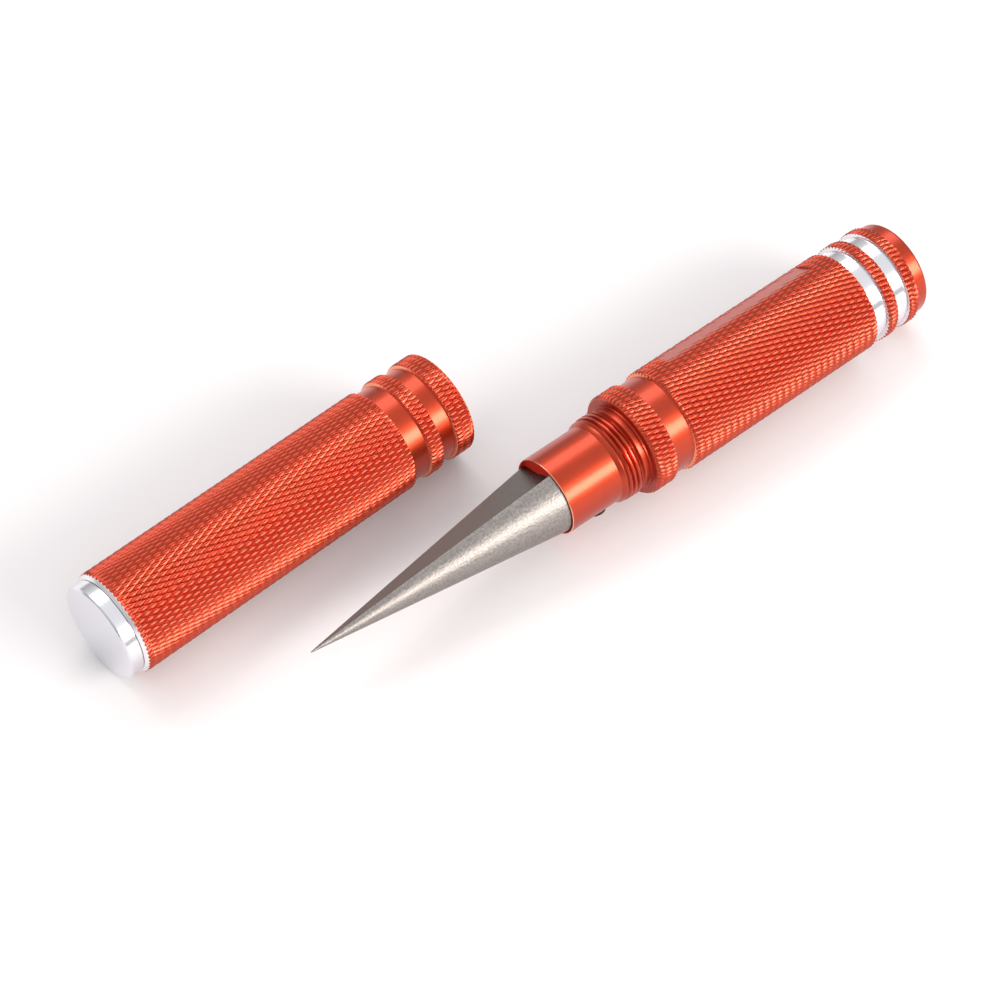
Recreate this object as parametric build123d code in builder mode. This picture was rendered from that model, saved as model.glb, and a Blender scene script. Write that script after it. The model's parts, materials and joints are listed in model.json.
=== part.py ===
from build123d import *
from math import cos, radians, sin
import os

# A tapered hand reamer with a screw-on cap, lying beside it. Millimetres, +Z up. Both pieces rest on
# z = 0, the reamer's axis runs along X with its tip toward -X, and the cap lies on the +Y side.

# bar stock that both the handle and the cap are turned from
bar_radius = 10.0
groove_depth = 0.73

# stations along the reamer, measured from the mouth of its nose toward the tail
thread_foot = 11.3
thread_lead = 0.8
collar_face = 17.7
collar_back = 22.2
grip_front = 26.8
grip_back = 70.7
first_band_front = 73.7
first_band_back = 76.0
second_band_front = 79.0
second_band_back = 81.1
tail_end = 84.0

# nose of the handle
sleeve_wall = 0.31
sleeve_break = 0.25
thread_step = 0.19
thread_height = 0.55
thread_pitch = 1.0
thread_crests = 4
crest_width = 0.2
relief_step = 0.49
lip_height = 0.35
lip_width = 0.4
collar_chamfer = 0.4
recess_depth = 1.0
spigot_length = 12.0
spigot_break = 0.5

# grip and tail
grip_wall = 2.5
flat_front = 32.0
flat_back = 66.5
flat_depth = 0.49
flat_angle = 51.0
tail_step = 0.71
tail_chamfer = 0.5
tail_spigot_length = 8.0

# conical reamer blade
blade_length = 51.8
blade_radius = 7.05
tip_radius = 0.12
shank_radius = 4.0
shank_length = 24.0
shank_chamfer = 0.5
shank_flat_depth = 0.5
flute_edge_angle = 10.0
cutting_edge_angle = 97.0
flute_root_height = 3.65
flute_root_offset = -0.2
flute_overshoot = 1.6

# clamping screw in the side of the nose
screw_radius = 1.5
screw_station = 8.0
screw_angle = 230.0
screw_stand_proud = 0.5
screw_chamfer = 0.25
hex_across_flats = 1.5
hex_depth = 1.8

# cap, measured from its open rim toward its closed end
cap_end_width = 2.62
cap_end_step = 0.86
cap_end_chamfer = 0.35
cap_front_band = 3.94
cap_front_groove = 3.36
cap_rear_band = 2.63
cap_rear_groove = 3.9
cap_rim_chamfer = 0.2
cap_thread_depth = 0.5
cap_thread_land = 0.5
cap_spigot_length = 2.9

# where the cap lies beside the reamer
cap_rim_x = -0.92
cap_spacing = 8.63
cap_yaw = 2.04

# clearances
press_gap = 0.01
running_gap = 0.03
face_gap = 0.05
thread_gap = 0.1
recess_gap = 0.2
cap_bore_gap = 0.44
cap_mouth_gap = 0.3
tip_gap = 1.41

# radii that follow the bar: grooves and their edge chamfers, grip bore, tail and cap end
edge_chamfer = groove_depth
groove_radius = bar_radius - groove_depth
grip_bore_radius = bar_radius - grip_wall
tail_radius = bar_radius - tail_step
cap_end_radius = bar_radius - cap_end_step

# radii that follow the blade: its recess, the sleeve round it, the thread, and the cap over them
recess_radius = blade_radius + recess_gap
sleeve_radius = recess_radius + sleeve_wall
thread_root_radius = sleeve_radius + thread_step
thread_radius = thread_root_radius + thread_height
relief_radius = sleeve_radius + relief_step
lip_radius = relief_radius + lip_height
cap_bore_radius = sleeve_radius + cap_bore_gap
cap_mouth_radius = thread_radius + cap_mouth_gap

# stations that follow: thread, neck, and the cap's thread and length, which close over the blade
thread_start = thread_foot + thread_lead
thread_end = thread_start + thread_crests * thread_pitch
neck_end = grip_front - edge_chamfer
cap_thread_start = thread_start - collar_face - thread_pitch / 2
cap_mouth_depth = -cap_thread_start - thread_crests * thread_pitch - cap_thread_land
cap_knurl_length = collar_face + blade_length + tip_gap + cap_spigot_length - edge_chamfer

# where the two pieces lie
tip_x = -blade_length
cap_axis_y = 2 * bar_radius + cap_spacing
cap_length = cap_knurl_length + edge_chamfer + cap_end_width
cap_along = (cos(radians(cap_yaw)), sin(radians(cap_yaw)))
cap_back_x = cap_rim_x - cap_length * cap_along[0] - cap_end_radius * cap_along[1]
cap_side_y = cap_axis_y - cap_rim_chamfer * cap_along[1] + bar_radius * cap_along[0]
middle_x = (min(tip_x, cap_back_x) + tail_end) / 2
middle_y = (cap_side_y - bar_radius) / 2

# frames of the two pieces: local x along the axis, local y up
tool_plane = Plane(origin=(-middle_x, -middle_y, bar_radius), x_dir=(1, 0, 0), z_dir=(0, -1, 0))
tool_axis = Axis(tool_plane.origin, tool_plane.x_dir)
cap_plane = Plane(
    origin=(cap_rim_x - middle_x, cap_axis_y - middle_y, bar_radius),
    x_dir=(cap_along[0], cap_along[1], 0),
    z_dir=(cap_along[1], -cap_along[0], 0),
)
cap_axis = Axis(cap_plane.origin, cap_plane.x_dir)


def across(station):
    """Plane square to the reamer's axis at a station, with local x toward +Y and local y up."""
    origin = tool_plane.origin + Vector(station, 0, 0)
    return Plane(origin=origin, x_dir=(0, 1, 0), z_dir=(1, 0, 0))


def radial(station, angle, distance):
    """Plane that faces outward from the reamer's axis, at an angle from +Y toward +Z."""
    outward = Vector(0, cos(radians(angle)), sin(radians(angle)))
    origin = tool_plane.origin + Vector(station, 0, 0) + outward * distance
    return Plane(origin=origin, x_dir=(1, 0, 0), z_dir=outward)


def ridge_points(start, count, root, crest):
    """Outline of round thread ridges, from the foot of the first to the foot of the last."""
    points = []
    for turn in range(count):
        foot = start + turn * thread_pitch
        middle = foot + thread_pitch / 2
        points.append((foot, root))
        points.append((middle - crest_width / 2, crest))
        points.append((middle + crest_width / 2, crest))
    points.append((start + count * thread_pitch, root))
    return points


# nose bush: front sleeve, thread for the cap, collar, neck, and the spigot that holds it in the grip
shank_bore_radius = shank_radius + running_gap
nose_spigot_radius = grip_bore_radius - press_gap
shank_start = recess_depth - face_gap
shank_end = shank_start + shank_length

with BuildPart() as nose_bush:
    with BuildSketch(tool_plane):
        with BuildLine():
            Polyline(
                (0, recess_radius),
                (0, sleeve_radius - sleeve_break),
                (sleeve_break, sleeve_radius),
                (thread_foot, sleeve_radius),
                *ridge_points(thread_start, thread_crests, thread_root_radius, thread_radius),
                (thread_end, relief_radius),
                (collar_face - lip_width, relief_radius),
                (collar_face - lip_width, lip_radius),
                (collar_face, lip_radius),
                (collar_face, bar_radius - collar_chamfer),
                (collar_face + collar_chamfer, bar_radius),
                (collar_back, bar_radius),
                (collar_back, groove_radius),
                (neck_end, groove_radius),
                (neck_end, nose_spigot_radius),
                (neck_end + spigot_length - spigot_break, nose_spigot_radius),
                (neck_end + spigot_length, nose_spigot_radius - spigot_break),
                (neck_end + spigot_length, shank_bore_radius),
                (recess_depth, shank_bore_radius),
                (recess_depth, recess_radius),
                close=True,
            )
        make_face()
    revolve(axis=tool_axis)
    with BuildSketch(radial(screw_station, screw_angle, 0)):
        Circle(screw_radius + running_gap)
    extrude(amount=bar_radius, mode=Mode.SUBTRACT)

# grip tube: knurled barrel with two turned grooves, bored through, with one long flat
with BuildPart() as grip_tube:
    with BuildSketch(tool_plane):
        with BuildLine():
            Polyline(
                (neck_end, grip_bore_radius),
                (neck_end, groove_radius),
                (grip_front, bar_radius),
                (grip_back, bar_radius),
                (grip_back, groove_radius),
                (first_band_front - edge_chamfer, groove_radius),
                (first_band_front, bar_radius),
                (first_band_back, bar_radius),
                (first_band_back, groove_radius),
                (second_band_front - edge_chamfer, groove_radius),
                (second_band_front, bar_radius),
                (second_band_back, bar_radius),
                (second_band_back, grip_bore_radius),
                close=True,
            )
        make_face()
    revolve(axis=tool_axis)
    with BuildSketch(radial((flat_front + flat_back) / 2, flat_angle, bar_radius - flat_depth)):
        Rectangle(flat_back - flat_front, 2 * bar_radius)
    extrude(amount=2 * flat_depth, mode=Mode.SUBTRACT)

# tail plug: smooth end of the handle, held in the grip by its spigot
with BuildPart() as tail_plug:
    with BuildSketch(tool_plane):
        with BuildLine():
            Polyline(
                (second_band_back - tail_spigot_length, 0),
                (second_band_back - tail_spigot_length, grip_bore_radius - press_gap - spigot_break),
                (second_band_back - tail_spigot_length + spigot_break, grip_bore_radius - press_gap),
                (second_band_back, grip_bore_radius - press_gap),
                (second_band_back, tail_radius),
                (tail_end - tail_chamfer, tail_radius),
                (tail_end, tail_radius - tail_chamfer),
                (tail_end, 0),
                close=True,
            )
        make_face()
    revolve(axis=tool_axis)

# reamer blade: cone with one deep flute, and a plain shank with a flat for the clamping screw
taper = (blade_radius - tip_radius) / blade_length
with BuildPart() as reamer_blade:
    with BuildSketch(tool_plane):
        with BuildLine():
            Polyline(
                (tip_x, 0),
                (tip_x, tip_radius),
                (0, blade_radius),
                (shank_start, blade_radius),
                (shank_start, shank_radius),
                (shank_end - shank_chamfer, shank_radius),
                (shank_end, shank_radius - shank_chamfer),
                (shank_end, 0),
                close=True,
            )
        make_face()
    revolve(axis=tool_axis)
    flute_root = Vector(flute_root_offset, flute_root_height)
    flute_edge = Vector(blade_radius, 0).rotate(Axis.Z, flute_edge_angle)
    cutting_edge = Vector(blade_radius, 0).rotate(Axis.Z, cutting_edge_angle)
    floor_end = flute_root + (flute_edge - flute_root) * flute_overshoot
    wall_end = flute_root + (cutting_edge - flute_root) * flute_overshoot
    far_corner = floor_end + wall_end - flute_root
    for station in (tip_x - tip_radius, shank_start):
        size = (tip_radius + taper * (station - tip_x)) / blade_radius
        outline = [corner * size for corner in (flute_root, floor_end, far_corner, wall_end)]
        with BuildSketch(across(station)):
            Polygon(*[(corner.X, corner.Y) for corner in outline], align=None)
    loft(ruled=True, mode=Mode.SUBTRACT)
    shank_middle = (shank_start + shank_end) / 2
    with BuildSketch(radial(shank_middle, screw_angle, shank_radius - shank_flat_depth)):
        Rectangle(shank_length, 2 * shank_radius)
    extrude(amount=shank_flat_depth * 2, mode=Mode.SUBTRACT)

# clamping screw: hexagon-socket grub screw that bears on the shank's flat
screw_tip = shank_radius - shank_flat_depth + face_gap
screw_head = sleeve_radius + screw_stand_proud
with BuildPart() as clamp_grub_screw:
    with BuildSketch(radial(screw_station, screw_angle, screw_tip)):
        Circle(screw_radius)
    extrude(amount=screw_head - screw_tip)
    chamfer(clamp_grub_screw.edges().filter_by(GeomType.CIRCLE), screw_chamfer)
    with BuildSketch(radial(screw_station, screw_angle, screw_head - hex_depth)):
        RegularPolygon(hex_across_flats / 2, 6, major_radius=False)
    extrude(amount=hex_depth, mode=Mode.SUBTRACT)

# cap tube: knurled barrel with two turned grooves near its open rim, threaded inside the rim
groove_front = -cap_front_band
groove_back = groove_front - cap_front_groove
rear_groove_front = groove_back - cap_rear_band
rear_groove_back = rear_groove_front - cap_rear_groove
cap_tube_end = -cap_knurl_length - edge_chamfer
cap_thread_root = thread_radius + thread_gap
cap_thread_outer = cap_thread_root + cap_thread_depth

with BuildPart() as cap_tube:
    with BuildSketch(cap_plane):
        with BuildLine():
            Polyline(
                (0, cap_mouth_radius),
                (0, bar_radius - cap_rim_chamfer),
                (-cap_rim_chamfer, bar_radius),
                (groove_front, bar_radius),
                (groove_front - edge_chamfer, groove_radius),
                (groove_back, groove_radius),
                (groove_back, bar_radius),
                (rear_groove_front, bar_radius),
                (rear_groove_front - edge_chamfer, groove_radius),
                (rear_groove_back, groove_radius),
                (rear_groove_back, bar_radius),
                (-cap_knurl_length, bar_radius),
                (cap_tube_end, groove_radius),
                (cap_tube_end, cap_bore_radius),
                (cap_thread_start, cap_bore_radius),
                *ridge_points(cap_thread_start, thread_crests, cap_thread_root, cap_thread_outer),
                (-cap_mouth_depth, cap_thread_root),
                (-cap_mouth_depth, cap_mouth_radius),
                close=True,
            )
        make_face()
    revolve(axis=cap_axis)

# cap end plug: bright disc that closes the cap, with a short spigot in the bore
plug_face = cap_tube_end - face_gap
with BuildPart() as cap_end_plug:
    with BuildSketch(cap_plane):
        with BuildLine():
            Polyline(
                (-cap_length, 0),
                (-cap_length, cap_end_radius - cap_end_chamfer),
                (cap_end_chamfer - cap_length, cap_end_radius),
                (plug_face, cap_end_radius),
                (plug_face, cap_bore_radius - running_gap),
                (cap_tube_end + cap_spigot_length, cap_bore_radius - running_gap),
                (cap_tube_end + cap_spigot_length, 0),
                close=True,
            )
        make_face()
    revolve(axis=cap_axis)

pieces = {
    "nose_bush": nose_bush,
    "grip_tube": grip_tube,
    "tail_plug": tail_plug,
    "reamer_blade": reamer_blade,
    "clamp_grub_screw": clamp_grub_screw,
    "cap_tube": cap_tube,
    "cap_end_plug": cap_end_plug,
}
os.makedirs("parts", exist_ok=True)
for name, piece in pieces.items():
    piece.part.label = name
    export_step(piece.part, f"parts/{name}.step")
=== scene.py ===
from math import asin, ceil, cos, floor, pi, radians, sin, sqrt, tan

import bmesh
import bpy
from mathutils import Matrix, Vector
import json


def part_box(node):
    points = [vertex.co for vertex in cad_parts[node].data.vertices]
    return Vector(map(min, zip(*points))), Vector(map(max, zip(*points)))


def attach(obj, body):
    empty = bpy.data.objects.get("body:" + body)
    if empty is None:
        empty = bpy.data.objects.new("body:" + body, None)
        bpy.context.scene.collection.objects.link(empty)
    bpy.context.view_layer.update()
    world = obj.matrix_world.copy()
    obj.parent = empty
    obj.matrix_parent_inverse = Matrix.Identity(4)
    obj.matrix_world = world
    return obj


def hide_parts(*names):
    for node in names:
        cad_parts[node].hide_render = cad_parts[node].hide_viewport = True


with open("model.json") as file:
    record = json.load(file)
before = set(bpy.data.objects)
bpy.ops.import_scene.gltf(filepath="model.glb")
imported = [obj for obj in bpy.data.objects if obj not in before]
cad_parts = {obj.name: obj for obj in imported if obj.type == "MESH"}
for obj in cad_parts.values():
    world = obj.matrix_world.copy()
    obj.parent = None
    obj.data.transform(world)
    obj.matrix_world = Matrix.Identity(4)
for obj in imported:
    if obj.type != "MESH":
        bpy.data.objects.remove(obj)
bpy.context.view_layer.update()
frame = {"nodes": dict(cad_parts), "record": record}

# A hand reamer turned from orange anodised bar, with its screw-on cap beside it. Pieces are made in
# millimetres along their own axis of turning, then set in the frame's metres by place().
MM = 0.001

# ---------------------------------------------------------------- sizes from the frame, in millimetres
grip_low, grip_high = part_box("grip_tube")
nose_low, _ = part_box("nose_bush")
blade_low, blade_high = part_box("reamer_blade")
tail_low, tail_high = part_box("tail_plug")
joints = {joint["name"]: joint for joint in frame["record"]["behaviour"]["joints"]}
mounts = {mount["name"]: mount for mount in frame["record"]["mounts"]}

bar_radius = (grip_high.z - grip_low.z) / 2 / MM
tool_origin = Vector((nose_low.x, (grip_low.y + grip_high.y) / 2, (grip_low.z + grip_high.z) / 2))
tail_end = (tail_high.x - nose_low.x) / MM
grip_end = (grip_high.x - nose_low.x) / MM
neck_end = (grip_low.x - nose_low.x) / MM
blade_mouth = (blade_high.z - blade_low.z) / 2
blade_tip_radius = 0.12 * MM
blade_taper = (blade_mouth - blade_tip_radius) / (nose_low.x - blade_low.x)
tail_radius = (tail_high.z - tail_low.z) / 2 / MM
cap_rim = Vector(joints["cap_twist"]["pos_m"])
cap_along = Vector(joints["cap_twist"]["axis"]).normalized()
cap_length = (cap_rim - Vector(mounts["cap_end_face"]["pos_m"])).length / MM
plug_low, plug_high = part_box("cap_end_plug")
cap_end_radius = (plug_high.z - plug_low.z) / 2 / MM

# stations along the handle from the mouth of its nose, and radii
groove_radius = 9.27
chamfer = bar_radius - groove_radius
thread_foot = 11.3
thread_start = 12.1
thread_end = 16.1
collar_face = 17.7
collar_back = 22.2
grip_front = neck_end + chamfer
grip_back = 70.7
edge_run = 0.25
edge_step = 0.1
ring_gap = 0.1          # from an edge to the ring that keeps its highlight narrow
first_band = (73.7, 76.0)
second_band = (79.0, grip_end)
sleeve_radius = 7.56
mouth_break = 0.12
thread_root = 7.75
thread_height = 0.55
thread_lead_height = 0.4
thread_run_out = 0.7
thread_pitch = 1.0
thread_steps = 10
relief_radius = 8.05
recess_radius = 7.25
lip_width = 0.4
lip_height = 0.35
collar_chamfer = 0.5
recess_depth = 1.0
shank_bore = 4.03
grip_bore = 7.49
spigot_length = 12.0
tail_spigot_length = 8.0
screw_station = 8.0
screw_angle = 230.0
screw_bore = 1.53
flat_range = (32.0, 66.5)
flat_angle = 51.0
flat_depth = 0.49

# the cap, from its open rim toward its closed end
cap_front_band = 3.94
cap_front_groove = 3.36
cap_rear_band = 2.63
cap_rear_groove = 3.9
cap_knurl_length = 73.08
cap_bore = 8.0
cap_thread_root = 8.4
cap_mouth = 8.6
cap_mouth_depth = 1.6
cap_rim_break = 0.35
cap_thread_height = 0.5
cap_spigot_length = 2.9

# the knurl: long diamonds round the bar, three times as long as they are wide
knurl_teeth = 60
knurl_steps = 6
knurl_depth = 0.38
grip_second = 0.6
cap_second = 0.85
cap_depth = 0.3
knurl_helix = 18.5
knurl_pitch = 2 * pi * bar_radius / knurl_teeth
knurl_lead = knurl_pitch / tan(radians(knurl_helix))
columns = knurl_teeth * knurl_steps


# ---------------------------------------------------------------- small helpers
def linear(code):
    """An sRGB hex colour as the linear RGBA that a shader takes."""
    channels = [int(code[i:i + 2], 16) / 255 for i in (1, 3, 5)]
    return tuple(c / 12.92 if c <= 0.04045 else ((c + 0.055) / 1.055) ** 2.4 for c in channels) + (1.0,)


def add(tree, kind, inputs=None, **settings):
    """Adds a node, sets its options, and fills or links its inputs, from a node's first output by default."""
    made = tree.nodes.new(kind)
    for key, value in settings.items():
        setattr(made, key, value)
    for key, value in (inputs or {}).items():
        if isinstance(value, bpy.types.Node):
            value = value.outputs[0]
        if isinstance(value, bpy.types.NodeSocket):
            tree.links.new(value, made.inputs[key])
        else:
            made.inputs[key].default_value = value
    return made


def new_material(name):
    """An empty material with its output node; returns the material, its tree and the output."""
    material = bpy.data.materials.new(name)
    material.use_nodes = True
    material.node_tree.nodes.clear()
    return material, material.node_tree, add(material.node_tree, "ShaderNodeOutputMaterial")


# ---------------------------------------------------------------- materials
# How many cells each pattern has to the millimetre. The grains are finer on the real surfaces, and are
# drawn as coarse as they need to be to show.
dye_mottle = 0.18          # faint patches about 5 mm wide
blast_grain = 2.6          # coarser than real: 0.4 mm
grinding_grain = 2.6       # coarser than real: 0.4 mm
grinding_streak = 0.06     # along the blade, 17 mm
pit_cells = 0.42           # cells 2.4 mm wide, of which few hold a pit
oxide_grain = 3.0          # coarser than real: 0.3 mm
tool_lines = 14.0          # rings 0.07 mm apart, the feed of a fine finishing cut
wear_patches = 1.1         # where crests are a little lower, about 0.9 mm wide


def per_metre(cells):
    """The scale, on coordinates in metres, of a pattern with this many cells to the millimetre."""
    return cells / MM


def orange_anodised_aluminium():
    """Dyed, sealed oxide on bead-dulled aluminium: a dark, rich metallic orange-red with a soft clear skin,
    and painted shade in the knurl grooves and thread roots.
    """
    material, tree, output = new_material("orange_anodised_aluminium")
    place = add(tree, "ShaderNodeTexCoord").outputs["Object"]
    mottle = add(tree, "ShaderNodeTexNoise", {
        "Vector": place, "Scale": per_metre(dye_mottle), "Detail": 3.0})
    colour = add(tree, "ShaderNodeMixRGB", {
        "Fac": mottle, "Color1": linear("#B03518"), "Color2": linear("#BC3D1D")})
    # Painted shade: the knurl's valleys (from the cut attribute) and the thread's roots (from the root
    # attribute) are mixed toward a dark red, standing in for the shade that falls in grooves.
    cut = add(tree, "ShaderNodeAttribute", attribute_name="cut").outputs["Fac"]
    knurled = add(tree, "ShaderNodeMath", {0: cut, 1: 0.02}, operation="LESS_THAN")
    groove_shade = add(tree, "ShaderNodeMapRange", {
        "Value": cut, "From Min": -knurl_depth, "From Max": -0.14, "To Min": 0.6, "To Max": 0.0})
    root = add(tree, "ShaderNodeAttribute", attribute_name="root").outputs["Fac"]
    sunk = add(tree, "ShaderNodeMapRange", {"Value": root, "From Min": 0.55, "From Max": 1.0, "To Max": 0.85})
    shade = add(tree, "ShaderNodeMath", {0: groove_shade, 1: sunk}, operation="MAXIMUM")
    # 7A2A18 is the dark red of the painted groove shade
    colour = add(tree, "ShaderNodeMixRGB", {"Fac": shade, "Color1": colour, "Color2": linear("#7A2A18")})
    speckle = add(tree, "ShaderNodeTexNoise", {
        "Vector": place, "Scale": per_metre(blast_grain), "Detail": 2.0})
    satin = add(tree, "ShaderNodeMapRange", {"Value": speckle, "To Min": 0.29, "To Max": 0.41})
    rough = add(tree, "ShaderNodeMath", {0: knurled, 1: -0.08, 2: satin}, operation="MULTIPLY_ADD")
    rough = add(tree, "ShaderNodeMath", {0: shade, 1: 0.3, 2: rough}, operation="MULTIPLY_ADD")
    bump = add(tree, "ShaderNodeBump", {"Height": speckle, "Strength": 0.12, "Distance": 0.03 * MM})
    shader = add(tree, "ShaderNodeBsdfPrincipled", {
        "Base Color": colour, "Metallic": 1.0, "Roughness": rough, "Normal": bump,
        "Coat Weight": 0.4, "Coat Roughness": 0.22, "Coat IOR": 1.6})
    tree.links.new(shader.outputs[0], output.inputs["Surface"])
    return material


def cut_edge(name, bare_or_highlight_colour, width):
    """Chamfer cut through the knurl: a bright jagged line where the tool's cut meets the diamonds, silver
    where the dye is cut away, light orange as a painted highlight on a dyed chamfer.
    """
    material, tree, output = new_material(name)
    cut = add(tree, "ShaderNodeAttribute", attribute_name="cut").outputs["Fac"]
    # Where the chamfer lies below the knurl its edge colour shows: silver where the dye is cut away, a
    # painted highlight where it is light orange.
    bare_or_highlight = add(tree, "ShaderNodeMapRange", {"Value": cut, "From Min": 0.0, "From Max": 0.02})
    faded = add(tree, "ShaderNodeMapRange", {
        "Value": cut, "From Min": width, "From Max": width + 0.08, "To Min": 1.0, "To Max": 0.0})
    shown = add(tree, "ShaderNodeMath", {0: bare_or_highlight, 1: faded}, operation="MULTIPLY")
    colour = add(tree, "ShaderNodeMixRGB", {
        "Fac": shown, "Color1": linear("#B03518"), "Color2": linear(bare_or_highlight_colour)})
    rough = add(tree, "ShaderNodeMapRange", {"Value": bare_or_highlight, "To Min": 0.4, "To Max": 0.24})
    shader = add(tree, "ShaderNodeBsdfPrincipled", {
        "Base Color": colour, "Metallic": 1.0, "Roughness": rough})
    tree.links.new(shader.outputs[0], output.inputs["Surface"])
    return material


def dull_bored_aluminium():
    """Inside of the nose as the boring tool left it: matt, dyed red, so it catches what light gets in."""
    material, tree, output = new_material("dull_bored_aluminium")
    shader = add(tree, "ShaderNodeBsdfPrincipled", {
        "Base Color": linear("#F0301C"), "Metallic": 0.0, "Roughness": 0.6})
    tree.links.new(shader.outputs[0], output.inputs["Surface"])
    return material


def bright_turned_aluminium():
    """Bare aluminium from a fine finishing cut: pale, with close rings left by the tool."""
    material, tree, output = new_material("bright_turned_aluminium")
    ring = add(tree, "ShaderNodeAttribute", attribute_name="ring").outputs["Fac"]
    lines = add(tree, "ShaderNodeTexNoise", {
        "W": ring, "Scale": tool_lines, "Detail": 4.0}, noise_dimensions="1D")
    rough = add(tree, "ShaderNodeMapRange", {"Value": lines, "To Min": 0.13, "To Max": 0.21})
    bump = add(tree, "ShaderNodeBump", {"Height": lines, "Strength": 0.15, "Distance": 0.02 * MM})
    shader = add(tree, "ShaderNodeBsdfPrincipled", {
        "Base Color": linear("#E8E8EE"), "Metallic": 1.0, "Roughness": rough, "Normal": bump})
    tree.links.new(shader.outputs[0], output.inputs["Surface"])
    return material


def ground_tool_steel():
    """Hardened steel ground to a fine even grain: satin grey with rare pits; the milled flute is painted
    darker as shade.
    """
    material, tree, output = new_material("ground_tool_steel")
    place = add(tree, "ShaderNodeTexCoord").outputs["Object"]
    across = per_metre(grinding_grain)
    along = add(tree, "ShaderNodeMapping", {
        "Vector": place, "Scale": (per_metre(grinding_streak), across, across)})
    streaks = add(tree, "ShaderNodeTexNoise", {"Vector": along, "Scale": 1.0, "Detail": 3.0})
    grain = add(tree, "ShaderNodeTexNoise", {
        "Vector": place, "Scale": per_metre(grinding_grain), "Detail": 2.0, "Roughness": 0.6})
    both = add(tree, "ShaderNodeMath", {0: streaks, 1: 0.25, 2: grain}, operation="MULTIPLY_ADD")
    colour = add(tree, "ShaderNodeMixRGB", {
        "Fac": streaks, "Color1": linear("#918B88"), "Color2": linear("#A9A29E")})
    speck = add(tree, "ShaderNodeMapRange", {
        "Value": grain, "From Min": 0.34, "From Max": 0.62, "To Min": 0.72})
    pits = add(tree, "ShaderNodeTexVoronoi", {"Vector": place, "Scale": per_metre(pit_cells)})
    rare = add(tree, "ShaderNodeSeparateColor", {0: pits.outputs["Color"]})
    chance = add(tree, "ShaderNodeMath", {0: rare, 1: 0.035}, operation="LESS_THAN")
    small = add(tree, "ShaderNodeMath", {0: pits.outputs["Distance"], 1: 0.07}, operation="LESS_THAN")
    pit = add(tree, "ShaderNodeMath", {0: chance, 1: small}, operation="MULTIPLY")
    speck = add(tree, "ShaderNodeMath", {0: pit, 1: -0.85, 2: speck}, operation="MULTIPLY_ADD")
    dull = add(tree, "ShaderNodeMixRGB", {
        "Fac": 1.0, "Color1": colour, "Color2": speck}, blend_type="MULTIPLY")
    # Painted shade: the milled flute, found as where the blade lies inside its cone, is mixed toward a darker
    # grey.
    axes = add(tree, "ShaderNodeSeparateXYZ", {0: place}).outputs
    offset = add(tree, "ShaderNodeVectorMath", {
        0: place, 1: (0.0, -tool_origin.y, -tool_origin.z)}, operation="ADD")
    square = add(tree, "ShaderNodeVectorMath", {0: offset, 1: (0.0, 1.0, 1.0)}, operation="MULTIPLY")
    radius = add(tree, "ShaderNodeVectorMath", {0: square}, operation="LENGTH").outputs["Value"]
    cone = add(tree, "ShaderNodeMath", {
        0: axes[0], 1: blade_taper, 2: blade_mouth - blade_taper * tool_origin.x}, operation="MULTIPLY_ADD")
    sunk = add(tree, "ShaderNodeMath", {0: cone, 1: radius}, operation="SUBTRACT")
    within = add(tree, "ShaderNodeMath", {
        0: axes[0], 1: tool_origin.x + recess_depth * MM}, operation="LESS_THAN")
    milled = add(tree, "ShaderNodeMapRange", {"Value": sunk, "From Min": 0.02 * MM, "From Max": 0.12 * MM})
    flute = add(tree, "ShaderNodeMath", {0: milled, 1: within}, operation="MULTIPLY")
    # 706A66 is the grey of the painted flute shade
    colour = add(tree, "ShaderNodeMixRGB", {"Fac": flute, "Color1": dull, "Color2": linear("#706A66")})
    rough = add(tree, "ShaderNodeMapRange", {"Value": grain, "To Min": 0.34, "To Max": 0.52})
    bump = add(tree, "ShaderNodeBump", {"Height": both, "Strength": 0.8, "Distance": 0.07 * MM})
    shader = add(tree, "ShaderNodeBsdfPrincipled", {
        "Base Color": colour, "Metallic": 1.0, "Roughness": rough, "Normal": bump})
    tree.links.new(shader.outputs[0], output.inputs["Surface"])
    return material


def black_oxide_steel():
    """Blackened screw steel: near black with a dull oily sheen."""
    material, tree, output = new_material("black_oxide_steel")
    place = add(tree, "ShaderNodeTexCoord").outputs["Object"]
    grain = add(tree, "ShaderNodeTexNoise", {
        "Vector": place, "Scale": per_metre(oxide_grain), "Detail": 2.0})
    rough = add(tree, "ShaderNodeMapRange", {"Value": grain, "To Min": 0.35, "To Max": 0.55})
    shader = add(tree, "ShaderNodeBsdfPrincipled", {
        "Base Color": linear("#1B1A1A"), "Metallic": 0.6, "Roughness": rough})
    tree.links.new(shader.outputs[0], output.inputs["Surface"])
    return material


anodised = orange_anodised_aluminium()
# The silver edge shows the aluminium through the dye. The two light orange edges are painted highlights: one
# on dyed chamfers through the knurl, one over the whole chamfer of the sleeve's mouth rim.
bare_edge = cut_edge("bare_cut_edge", "#F1F0F2", 1.0)
highlight_edge = cut_edge("highlight_cut_edge", "#FFA07C", 1.0)
rim = cut_edge("highlight_rim", "#FFB890", 10.0)
bright = bright_turned_aluminium()
dull = dull_bored_aluminium()
steel = ground_tool_steel()
black = black_oxide_steel()


# finishes that an outline may name, with the number each has on a face; any other finish is anodised
finish_numbers = {"bare edge": 1, "highlight edge": 2, "bright": 3, "bright rim": 4, "dull": 5}
finish_materials = (bare_edge, highlight_edge, bright, rim, dull)


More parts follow.
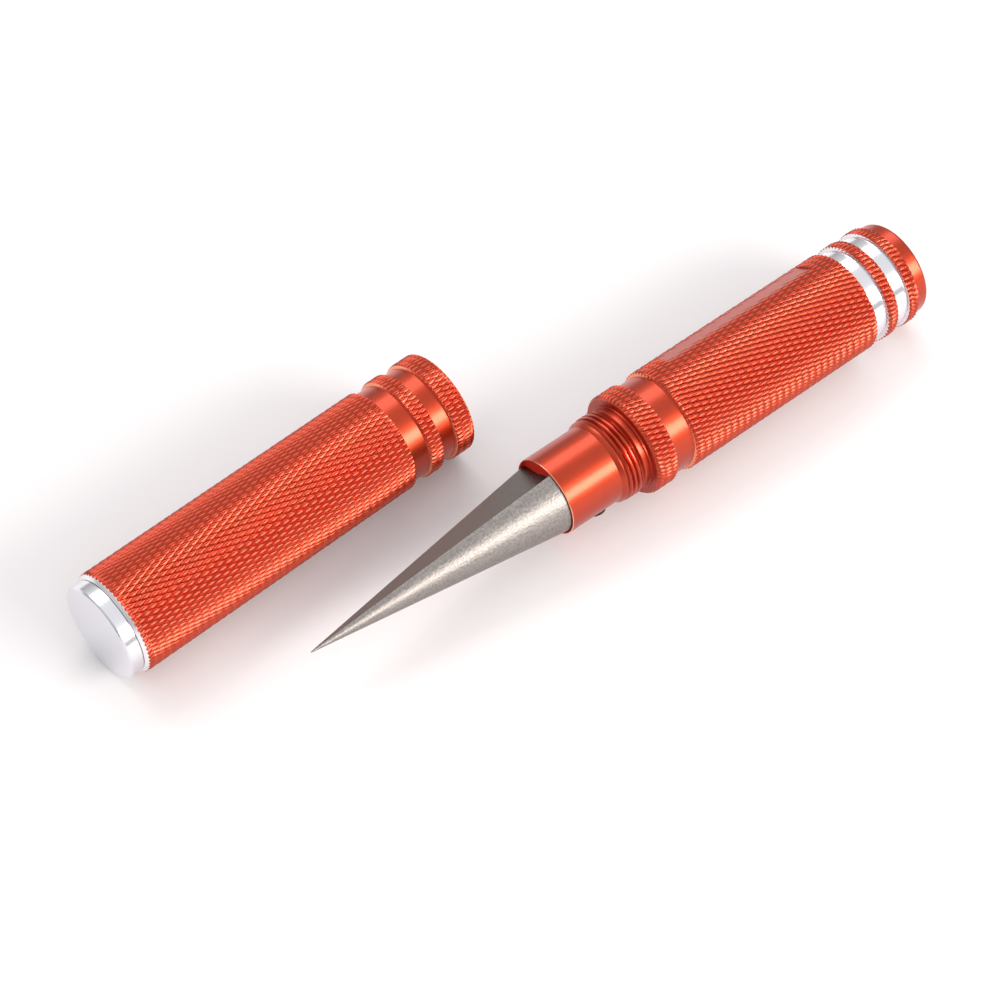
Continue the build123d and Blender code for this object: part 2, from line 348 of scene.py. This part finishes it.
# ---------------------------------------------------------------- turned blanks
def stations_between(start, end, finish):
    """Stations where a segment of an outline gets a ring of points, its two ends included."""
    low, high = min(start, end), max(start, end)
    step = {"knurl": knurl_lead / knurl_steps, "thread": thread_pitch / thread_steps,
            "bare edge": edge_step, "highlight edge": edge_step}.get(finish)
    if step is None or high - low < 1e-6:
        return [start, end]
    margin = step * 0.2
    inner = [k * step for k in range(ceil((low + margin) / step), floor((high - margin) / step) + 1)]
    stations = [low, *inner, high]
    return stations if start < end else stations[::-1]


def to_groove(steps):
    """How many steps lie between a count of steps and the nearest groove of its family."""
    return min(steps % knurl_steps, -steps % knurl_steps)


def knurl_index(station):
    """Which step of the knurl a station is on, or None between steps."""
    tolerance = 0.06
    steps = station / (knurl_lead / knurl_steps)
    return round(steps) if abs(steps - round(steps)) < tolerance else None


def turned_blank(name, outline):
    """A closed bar or tube turned round X from an outline of (station, radius, finish of what follows)."""
    rings = []
    finishes = []
    count = len(outline)
    for i, (start, radius, finish) in enumerate(outline):
        end, next_radius, _ = outline[(i + 1) % count]
        if radius == 0 and next_radius == 0:
            rings.append((start, 0.0))
            finishes.append(None)
            continue
        stations = stations_between(start, end, finish)
        for station in stations[:-1]:
            share = (station - start) / (end - start) if abs(end - start) > 1e-9 else 0.0
            rings.append((station, radius + (next_radius - radius) * share))
            finishes.append(finish)
    skin = bmesh.new()
    finish_layer = skin.faces.layers.int.new("finish")
    thread_layer = skin.verts.layers.float.new("thread")
    points = []
    for (station, radius), finish in zip(rings, finishes):
        if radius == 0:
            points.append([skin.verts.new((station, 0, 0))])
            continue
        ring = []
        for column in range(columns):
            angle = 2 * pi * column / columns
            ring.append(skin.verts.new((station, radius * cos(angle), radius * sin(angle))))
            ring[-1][thread_layer] = float(finish == "thread")
        points.append(ring)
    for i, finish in enumerate(finishes):
        if finish is None:
            continue
        here, there = points[i], points[(i + 1) % len(points)]
        marks = (knurl_index(rings[i][0]), knurl_index(rings[(i + 1) % len(rings)][0]))
        stepped = finish == "knurl" and None not in marks and abs(marks[0] - marks[1]) == 1
        for column in range(columns):
            after = (column + 1) % columns
            square = ((here, column), (here, after), (there, after), (there, column))
            corners = [ring[k % len(ring)] for ring, k in square]
            loop = list(dict.fromkeys(corners))
            if len(loop) == 4 and stepped:
                falling = to_groove(column + min(marks) + 1) <= to_groove(column - min(marks))
                if (marks[0] < marks[1]) == falling:
                    faces = [(loop[0], loop[1], loop[3]), (loop[1], loop[2], loop[3])]
                else:
                    faces = [(loop[0], loop[1], loop[2]), (loop[0], loop[2], loop[3])]
            else:
                faces = [tuple(loop)]
            for corner in faces:
                face = skin.faces.new(corner)
                face[finish_layer] = finish_numbers.get(finish, 0)
    bmesh.ops.recalc_face_normals(skin, faces=skin.faces)
    mesh = bpy.data.meshes.new(name)
    skin.to_mesh(mesh)
    skin.free()
    blank = bpy.data.objects.new(name, mesh)
    bpy.context.scene.collection.objects.link(blank)
    return blank


# ---------------------------------------------------------------- node trees that work a blank
def tree_with_inputs(name, sizes):
    """A geometry tree with a mesh in and out and one named number for each size."""
    tree = bpy.data.node_groups.new(name, "GeometryNodeTree")
    tree.interface.new_socket("Geometry", in_out="INPUT", socket_type="NodeSocketGeometry")
    for size in sizes:
        tree.interface.new_socket(size, in_out="INPUT", socket_type="NodeSocketFloat")
    tree.interface.new_socket("Geometry", in_out="OUTPUT", socket_type="NodeSocketGeometry")
    return tree, add(tree, "NodeGroupInput").outputs


def finish_faces(tree, geometry):
    """Ends a tree: instances made real, then the material that each face's finish asks for."""
    real = add(tree, "GeometryNodeRealizeInstances", {"Geometry": geometry})
    kind = add(tree, "GeometryNodeInputNamedAttribute", {"Name": "finish"}, data_type="INT")
    last = add(tree, "GeometryNodeSetMaterial", {"Geometry": real, "Material": anodised})
    for number, material in enumerate(finish_materials, 1):
        chosen = add(tree, "FunctionNodeCompare", {2: kind.outputs[0], 3: number},
                     data_type="INT", operation="EQUAL")
        last = add(tree, "GeometryNodeSetMaterial",
                   {"Geometry": last, "Selection": chosen, "Material": material})
    add(tree, "NodeGroupOutput", {"Geometry": last})


def rolled_knurl():
    """Presses two crossing families of grooves into the bar, and mills one flat. What lies deeper stays."""
    tree, size = tree_with_inputs("rolled_knurl", [
        "Teeth", "Lead", "Depth", "Second depth", "Crest radius",
        "Flat from", "Flat to", "Flat angle", "Flat height"])
    position = add(tree, "GeometryNodeInputPosition")
    axes = add(tree, "ShaderNodeSeparateXYZ", {0: position}).outputs
    angle = add(tree, "ShaderNodeMath", {0: axes[2], 1: axes[1]}, operation="ARCTAN2")
    square = add(tree, "ShaderNodeVectorMath", {0: position, 1: (0.0, 1.0, 1.0)}, operation="MULTIPLY")
    radius = add(tree, "ShaderNodeVectorMath", {0: square}, operation="LENGTH").outputs["Value"]
    per_turn = add(tree, "ShaderNodeMath", {0: size["Teeth"], 1: 2 * pi}, operation="DIVIDE")
    around = add(tree, "ShaderNodeMath", {0: angle, 1: per_turn}, operation="MULTIPLY")
    along = add(tree, "ShaderNodeMath", {0: axes[0], 1: size["Lead"]}, operation="DIVIDE")
    walls = []
    for operation in ("ADD", "SUBTRACT"):
        helix = add(tree, "ShaderNodeMath", {0: around, 1: along}, operation=operation)
        wave = add(tree, "ShaderNodeMath", {0: helix, 1: 0.5}, operation="PINGPONG")
        wall = add(tree, "ShaderNodeMath", {0: wave, 1: -2.0, 2: 1.0}, operation="MULTIPLY_ADD")
        walls.append(add(tree, "ShaderNodeMath", {0: wall, 1: 2.1}, operation="POWER"))
    weaker = add(tree, "ShaderNodeMath", {0: walls[0], 1: size["Second depth"]}, operation="MULTIPLY")
    groove = add(tree, "ShaderNodeMath", {0: walls[1], 1: weaker}, operation="MAXIMUM")
    sunk = add(tree, "ShaderNodeMath", {0: groove, 1: size["Depth"]}, operation="MULTIPLY")
    uneven = add(tree, "ShaderNodeTexNoise", {
        "Vector": position, "Scale": wear_patches, "Detail": 2.0})
    worn = add(tree, "ShaderNodeMath", {0: uneven, 1: 0.05, 2: -0.01}, operation="MULTIPLY_ADD")
    low = add(tree, "ShaderNodeMath", {0: size["Crest radius"], 1: sunk}, operation="SUBTRACT")
    knurled = add(tree, "ShaderNodeMath", {0: low, 1: worn}, operation="SUBTRACT")
    turn = add(tree, "ShaderNodeMath", {0: angle, 1: size["Flat angle"]}, operation="SUBTRACT")
    facing = add(tree, "ShaderNodeMath", {0: turn}, operation="COSINE")
    ahead = add(tree, "ShaderNodeMath", {0: facing, 1: 0.2}, operation="MAXIMUM")
    chord = add(tree, "ShaderNodeMath", {0: size["Flat height"], 1: ahead}, operation="DIVIDE")
    after = add(tree, "ShaderNodeMath", {0: axes[0], 1: size["Flat from"]}, operation="GREATER_THAN")
    before = add(tree, "ShaderNodeMath", {0: axes[0], 1: size["Flat to"]}, operation="LESS_THAN")
    within = add(tree, "ShaderNodeMath", {0: after, 1: before}, operation="MULTIPLY")
    outside = add(tree, "ShaderNodeMath", {0: within, 1: -100.0, 2: 100.0}, operation="MULTIPLY_ADD")
    milled = add(tree, "ShaderNodeMath", {0: chord, 1: outside}, operation="ADD")
    limit = add(tree, "ShaderNodeMath", {0: knurled, 1: milled}, operation="MINIMUM")
    kept = add(tree, "ShaderNodeMath", {0: radius, 1: limit}, operation="MINIMUM")
    safe = add(tree, "ShaderNodeMath", {0: radius, 1: 0.001}, operation="MAXIMUM")
    ratio = add(tree, "ShaderNodeMath", {0: kept, 1: safe}, operation="DIVIDE")
    pushed = add(tree, "ShaderNodeCombineXYZ", {0: 1.0, 1: ratio, 2: ratio})
    moved = add(tree, "ShaderNodeVectorMath", {0: position, 1: pushed}, operation="MULTIPLY")
    blank = add(tree, "ShaderNodeMath", {0: radius, 1: milled}, operation="MINIMUM")
    # cut also drives the anodised material's painted shade in the knurl valleys, and where the chamfer edges
    # show their colour
    cut = add(tree, "ShaderNodeMath", {0: knurled, 1: blank}, operation="SUBTRACT")
    marked = add(tree, "GeometryNodeStoreNamedAttribute",
                 {"Geometry": size["Geometry"], "Name": "cut", "Value": cut}, domain="POINT")
    worked = add(tree, "GeometryNodeSetPosition", {"Geometry": marked, "Position": moved})
    finish_faces(tree, worked)
    return tree


def cut_thread():
    """Raises a right-hand helical ridge on the rings marked as thread, fading out at both ends."""
    tree, size = tree_with_inputs("cut_thread", ["Start", "End", "Pitch", "Height", "Run-out"])
    position = add(tree, "GeometryNodeInputPosition")
    axes = add(tree, "ShaderNodeSeparateXYZ", {0: position}).outputs
    marked = add(tree, "GeometryNodeInputNamedAttribute", {"Name": "thread"}, data_type="FLOAT")
    angle = add(tree, "ShaderNodeMath", {0: axes[2], 1: axes[1]}, operation="ARCTAN2")
    turns = add(tree, "ShaderNodeMath", {0: angle, 1: 2 * pi}, operation="DIVIDE")
    along = add(tree, "ShaderNodeMath", {0: axes[0], 1: size["Pitch"]}, operation="DIVIDE")
    helix = add(tree, "ShaderNodeMath", {0: along, 1: turns}, operation="SUBTRACT")
    wave = add(tree, "ShaderNodeMath", {0: helix, 1: 0.5}, operation="PINGPONG")
    crest = add(tree, "ShaderNodeMapRange", {
        "Value": wave, "From Min": 0.02, "From Max": 0.31}, clamp=True)
    rise = add(tree, "ShaderNodeMath", {0: axes[0], 1: size["Start"]}, operation="SUBTRACT")
    fall = add(tree, "ShaderNodeMath", {0: size["End"], 1: axes[0]}, operation="SUBTRACT")
    nearest = add(tree, "ShaderNodeMath", {0: rise, 1: fall}, operation="MINIMUM")
    fade = add(tree, "ShaderNodeMath", {0: nearest, 1: size["Run-out"]}, operation="DIVIDE", use_clamp=True)
    lift = add(tree, "ShaderNodeMath", {0: crest.outputs[0], 1: fade}, operation="MULTIPLY")
    on_thread = add(tree, "ShaderNodeMath", {0: lift, 1: marked.outputs[0]}, operation="MULTIPLY")
    below = add(tree, "ShaderNodeMath", {0: marked.outputs[0], 1: on_thread}, operation="SUBTRACT")
    height = add(tree, "ShaderNodeMath", {0: on_thread, 1: size["Height"]}, operation="MULTIPLY")
    square = add(tree, "ShaderNodeVectorMath", {0: position, 1: (0.0, 1.0, 1.0)}, operation="MULTIPLY")
    outward = add(tree, "ShaderNodeVectorMath", {0: square}, operation="NORMALIZE")
    offset = add(tree, "ShaderNodeVectorMath", {0: outward, "Scale": height}, operation="SCALE")
    # root marks the thread's roots, which the anodised material paints darker as shade
    noted = add(tree, "GeometryNodeStoreNamedAttribute",
                {"Geometry": size["Geometry"], "Name": "root", "Value": below}, domain="POINT")
    worked = add(tree, "GeometryNodeSetPosition", {"Geometry": noted, "Offset": offset})
    finish_faces(tree, worked)
    return tree


def work(piece, tree, sizes):
    """Runs a node tree on a piece with the given sizes, and keeps the result as its plain mesh."""
    modifier = piece.modifiers.new(tree.name, "NODES")
    modifier.node_group = tree
    for item in tree.interface.items_tree:
        if item.in_out == "INPUT" and item.name in sizes:
            modifier[item.identifier] = float(sizes[item.name])
    depsgraph = bpy.context.evaluated_depsgraph_get()
    result = bpy.data.meshes.new_from_object(piece.evaluated_get(depsgraph), depsgraph=depsgraph)
    piece.modifiers.clear()
    old = piece.data
    piece.data = result
    bpy.data.meshes.remove(old)


def drill(piece, cutter):
    """Takes the cutter's shape out of a piece and removes the cutter."""
    modifier = piece.modifiers.new("drill", "BOOLEAN")
    modifier.operation = "DIFFERENCE"
    modifier.solver = "EXACT"
    modifier.object = cutter
    depsgraph = bpy.context.evaluated_depsgraph_get()
    result = bpy.data.meshes.new_from_object(piece.evaluated_get(depsgraph), depsgraph=depsgraph)
    piece.modifiers.clear()
    piece.data = result
    bpy.data.objects.remove(cutter)


# ---------------------------------------------------------------- setting pieces in the frame
tool_place = Matrix.Translation(tool_origin) @ Matrix.Scale(MM, 4)
cap_turn = Matrix.Rotation(asin(cap_along.y), 4, "Z")
cap_place = Matrix.Translation(cap_rim) @ cap_turn @ Matrix.Scale(MM, 4)


def place(piece, matrix, body, node, slot, crease=44.0):
    """Marks turned rings, sets the piece in the frame, hangs it on what it rides on and hides the part it
    stands for.
    """
    mesh = piece.data
    ring = mesh.attributes.new("ring", "FLOAT", "POINT")
    for vertex in mesh.vertices:
        radius = sqrt(vertex.co.y ** 2 + vertex.co.z ** 2)
        ring.data[vertex.index].value = vertex.co.x + radius
    mesh.transform(matrix)
    mesh.shade_smooth()
    mesh.set_sharp_from_angle(angle=radians(crease))
    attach(piece, body)
    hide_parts(node)


no_flat = {"Flat from": 0.0, "Flat to": 0.0, "Flat angle": 0.0, "Flat height": 100.0}
grip_knurl = {
    "Teeth": knurl_teeth, "Lead": knurl_lead, "Depth": knurl_depth, "Second depth": grip_second,
    "Crest radius": bar_radius}
cap_knurl = grip_knurl | {"Depth": cap_depth, "Second depth": cap_second}
knurl_tree = rolled_knurl()
thread_tree = cut_thread()


# ---------------------------------------------------------------- handle
def screw_cutter():
    """Drill for the clamp screw's hole: a rod that points out of the nose, square to its axis."""
    inner, outer = shank_bore - 0.5, sleeve_radius + 1.0
    rod = bmesh.new()
    bmesh.ops.create_cone(rod, cap_ends=True, segments=48, radius1=screw_bore, radius2=screw_bore,
                          depth=outer - inner)
    middle = Matrix.Translation((0, 0, (inner + outer) / 2))
    outward = Matrix.Rotation(radians(screw_angle - 90), 4, "X") @ middle
    rod.transform(Matrix.Translation((screw_station, 0, 0)) @ outward)
    mesh = bpy.data.meshes.new("drill")
    rod.to_mesh(mesh)
    rod.free()
    cutter = bpy.data.objects.new("drill", mesh)
    bpy.context.scene.collection.objects.link(cutter)
    return cutter


def make_grip():
    """Knurled barrel with a milled flat, and two bright grooves turned near the tail."""
    row = knurl_lead / knurl_steps
    start, end = (floor(station / row) * row for station in flat_range)
    wall = 0.02
    outline = [
        (neck_end, grip_bore, "turned"),
        (neck_end, groove_radius, "turned"),
        (grip_front - edge_run, groove_radius, "highlight edge"),
        (grip_front, bar_radius, "knurl"),
        (start, bar_radius, "turned"),
        (start + wall, bar_radius, "knurl"),
        (end, bar_radius, "turned"),
        (end + wall, bar_radius, "knurl"),
        (grip_back, bar_radius, "turned"),
        (grip_back, groove_radius, "bright"),
        (first_band[0] - edge_run, groove_radius, "bare edge"),
        (first_band[0], bar_radius, "knurl"),
        (first_band[1], bar_radius, "turned"),
        (first_band[1], groove_radius, "bright"),
        (second_band[0] - edge_run, groove_radius, "bare edge"),
        (second_band[0], bar_radius, "knurl"),
        (second_band[1], bar_radius, "turned"),
        (second_band[1], grip_bore, "turned"),
    ]
    grip = turned_blank("grip_barrel", outline)
    work(grip, knurl_tree, grip_knurl | {
        "Flat from": start + wall / 2, "Flat to": end + wall / 2,
        "Flat angle": radians(flat_angle), "Flat height": bar_radius - flat_depth})
    place(grip, tool_place, "handle", "grip_tube", "orange_anodised")


def make_nose():
    """Front sleeve, cap thread, relief, knurled collar and neck, with the bore for the blade."""
    lead_top = thread_root + thread_lead_height
    lead_slope = (lead_top - sleeve_radius) / (thread_start - thread_foot)
    thread_base = thread_start + 0.2
    outline = [
        (recess_depth, shank_bore, "dull"),
        (recess_depth, recess_radius, "dull"),
        (mouth_break, recess_radius, "dull"),
        (0.0, recess_radius + ring_gap, "turned"),
        (0.0, sleeve_radius - mouth_break, "bright rim"),
        (mouth_break / 3, sleeve_radius - mouth_break / 3, "bright rim"),
        (mouth_break, sleeve_radius, "turned"),
        (mouth_break + ring_gap, sleeve_radius, "turned"),
        (thread_foot - ring_gap, sleeve_radius, "turned"),
        (thread_foot, sleeve_radius, "turned"),
        (thread_foot + ring_gap, sleeve_radius + ring_gap * lead_slope, "turned"),
        (thread_start - 0.15, lead_top - 0.04, "turned"),
        (thread_start + ring_gap, lead_top, "turned"),
        (thread_base, thread_root, "thread"),
        (thread_end, thread_root, "turned"),
        (thread_end + 0.2, relief_radius, "turned"),
        (collar_face - lip_width, relief_radius, "turned"),
        (collar_face - lip_width + 0.05, relief_radius + lip_height - 0.05, "turned"),
        (collar_face, relief_radius + lip_height, "turned"),
        (collar_face, bar_radius - collar_chamfer, "turned"),
        (collar_face + collar_chamfer, bar_radius, "knurl"),
        (collar_back, bar_radius, "turned"),
        (collar_back, groove_radius, "turned"),
        (neck_end, groove_radius, "turned"),
        (neck_end, grip_bore, "turned"),
        (neck_end + spigot_length, grip_bore, "turned"),
        (neck_end + spigot_length, shank_bore, "turned"),
    ]
    nose = turned_blank("nose_and_collar", outline)
    work(nose, thread_tree, {
        "Start": thread_base, "End": thread_end, "Pitch": thread_pitch,
        "Height": thread_height, "Run-out": thread_run_out})
    work(nose, knurl_tree, grip_knurl | no_flat)
    drill(nose, screw_cutter())
    place(nose, tool_place, "handle", "nose_bush", "orange_anodised")


def make_tail():
    """Smooth round end of the handle."""
    ease = 0.5
    edge = 0.12
    spigot_radius = grip_bore - 0.01
    outline = [
        (grip_end - tail_spigot_length, 0, "turned"),
        (grip_end - tail_spigot_length, spigot_radius, "turned"),
        (grip_end, spigot_radius, "turned"),
        (grip_end, tail_radius - edge, "turned"),
        (grip_end + edge, tail_radius, "turned"),
        (tail_end - ease - ring_gap, tail_radius, "turned"),
        (tail_end - ease, tail_radius, "turned"),
        (tail_end - 0.3 * ease, tail_radius - 0.3 * ease, "turned"),
        (tail_end, tail_radius - ease, "turned"),
        (tail_end, 0, "turned"),
    ]
    tail = turned_blank("tail_rim", outline)
    work(tail, knurl_tree, grip_knurl | no_flat)
    place(tail, tool_place, "handle", "tail_plug", "orange_anodised")


# ---------------------------------------------------------------- cap
def make_cap():
    """Knurled cap with two smooth grooves near its open rim, threaded inside."""
    front = -cap_front_band
    first_floor = front - cap_front_groove
    second = first_floor - cap_rear_band
    second_floor = second - cap_rear_groove
    end = -cap_knurl_length - chamfer
    thread_inner_end = thread_start - collar_face - thread_pitch / 2
    outline = [
        (0.0, cap_mouth, "turned"),
        (0.0, bar_radius - cap_rim_break, "highlight edge"),
        (-cap_rim_break, bar_radius, "knurl"),
        (front, bar_radius, "highlight edge"),
        (front - edge_run, groove_radius, "turned"),
        (first_floor, groove_radius, "turned"),
        (first_floor, bar_radius, "knurl"),
        (second, bar_radius, "highlight edge"),
        (second - edge_run, groove_radius, "turned"),
        (second_floor, groove_radius, "turned"),
        (second_floor, bar_radius, "knurl"),
        (-cap_knurl_length, bar_radius, "bare edge"),
        (end, groove_radius, "bright"),
        (end, cap_bore, "turned"),
        (thread_inner_end, cap_bore, "turned"),
        (thread_inner_end, cap_thread_root, "thread"),
        (-cap_mouth_depth, cap_thread_root, "turned"),
        (-cap_mouth_depth, cap_mouth, "turned"),
    ]
    cap = turned_blank("cap_barrel", outline)
    work(cap, thread_tree, {
        "Start": thread_inner_end, "End": -cap_mouth_depth, "Pitch": thread_pitch,
        "Height": cap_thread_height, "Run-out": 0.5})
    work(cap, knurl_tree, cap_knurl | no_flat)
    place(cap, cap_place, "cap", "cap_tube", "orange_anodised")


def make_cap_end():
    """Bright plug that closes the cap: short plain band, thin chamfer and a faced disc."""
    edge = 0.05
    joint = -cap_knurl_length - chamfer - edge
    ease = 0.28
    spigot_radius = cap_bore - 0.03
    outline = [
        (-cap_length, 0, "bright"),
        (-cap_length, cap_end_radius - ease, "bright"),
        (-cap_length + ease, cap_end_radius, "bright"),
        (joint - edge, cap_end_radius, "bright"),
        (joint, cap_end_radius - edge, "bright"),
        (joint, spigot_radius, "bright"),
        (joint + cap_spigot_length, spigot_radius, "bright"),
        (joint + cap_spigot_length, 0, "bright"),
    ]
    plug = turned_blank("cap_bright_end", outline)
    work(plug, knurl_tree, grip_knurl | no_flat)
    place(plug, cap_place, "cap_end", "cap_end_plug", "bright_aluminium")


make_grip()
make_nose()
make_tail()
make_cap()
make_cap_end()
for node, material in (("reamer_blade", steel), ("clamp_grub_screw", black)):
    for slot in frame["nodes"][node].material_slots:
        slot.material = material


# ---------------------------------------------------------------- camera, floor and light
view_azimuth = -40.0
view_elevation = 52.98
view_roll = 0.49
view_distance = 0.56515
view_lens = 116.19
view_ahead = 6.58 * MM
view_aside = 4.57 * MM
view_target = Vector((tool_origin.x - view_ahead, tool_origin.y + view_aside, tool_origin.z))


def direction(azimuth, elevation):
    """Unit vector from the pieces toward an azimuth, counted from -Y toward +X, and an elevation."""
    turn, rise = radians(azimuth), radians(elevation)
    return Vector((sin(turn) * cos(rise), -cos(turn) * cos(rise), sin(rise)))


def make_camera():
    """Long lens that looks down on both pieces from their front left."""
    back = direction(view_azimuth, view_elevation)
    data = bpy.data.cameras.new("camera")
    data.sensor_width = 36.0
    data.lens = view_lens
    camera = bpy.data.objects.new("camera", data)
    right = Vector((0, 0, 1)).cross(back).normalized()
    up = back.cross(right)
    roll = radians(view_roll)
    across = right * cos(roll) + up * sin(roll)
    upright = up * cos(roll) - right * sin(roll)
    axes = Matrix((across, upright, back)).transposed().to_4x4()
    camera.matrix_world = Matrix.Translation(view_target + back * view_distance) @ axes
    bpy.context.scene.collection.objects.link(camera)
    bpy.context.scene.camera = camera


def make_floor():
    """Pale seamless table of white acrylic, faintly lit from below."""
    material, tree, output = new_material("white_table")
    shader = add(tree, "ShaderNodeBsdfPrincipled", {
        "Base Color": linear("#DDDADB"), "Roughness": 0.6, "Specular IOR Level": 0.2,
        "Emission Color": linear("#FFFDFD"), "Emission Strength": 0.1})
    tree.links.new(shader.outputs[0], output.inputs["Surface"])
    mesh = bpy.data.meshes.new("table")
    size = 3.0
    corners = [(-size, -size, 0), (size, -size, 0), (size, size, 0), (-size, size, 0)]
    mesh.from_pydata(corners, [], [(0, 1, 2, 3)])
    mesh.materials.append(material)
    table = bpy.data.objects.new("table", mesh)
    bpy.context.scene.collection.objects.link(table)


def soft_box(name, azimuth, elevation, distance, width, height, power, colour="#FFFFFF"):
    """A large area light that faces the pieces from a direction round them."""
    back = direction(azimuth, elevation)
    data = bpy.data.lights.new(name, "AREA")
    data.shape = "RECTANGLE"
    data.size = width
    data.size_y = height
    data.energy = power
    data.color = linear(colour)[:3]
    light = bpy.data.objects.new(name, data)
    facing = back.to_track_quat("Z", "Y").to_matrix().to_4x4()
    light.matrix_world = Matrix.Translation(back * distance) @ facing
    bpy.context.scene.collection.objects.link(light)


def make_light():
    """White surround, brighter overhead than at the horizon, with one soft box in front and one behind."""
    world = bpy.data.worlds.new("studio")
    world.use_nodes = True
    room = world.node_tree
    way = add(room, "ShaderNodeSeparateXYZ", {0: add(room, "ShaderNodeTexCoord").outputs["Generated"]})
    height = add(room, "ShaderNodeMapRange", {
        "Value": way.outputs["Z"], "From Min": 0.0, "From Max": 0.75, "To Min": 0.4, "To Max": 0.92})
    room.links.new(height.outputs[0], room.nodes["Background"].inputs["Strength"])
    room.nodes["Background"].inputs["Color"].default_value = linear("#FFFFFF")
    bpy.context.scene.world = world
    soft_box("front box", azimuth=26, elevation=27, distance=1.0, width=0.8, height=0.36, power=10.5,
             colour="#FFFAF4")
    soft_box("back box", azimuth=165, elevation=52, distance=1.2, width=1.4, height=0.6, power=6.0)
    bpy.context.scene.view_settings.view_transform = "Standard"


make_camera()
make_floor()
make_light()
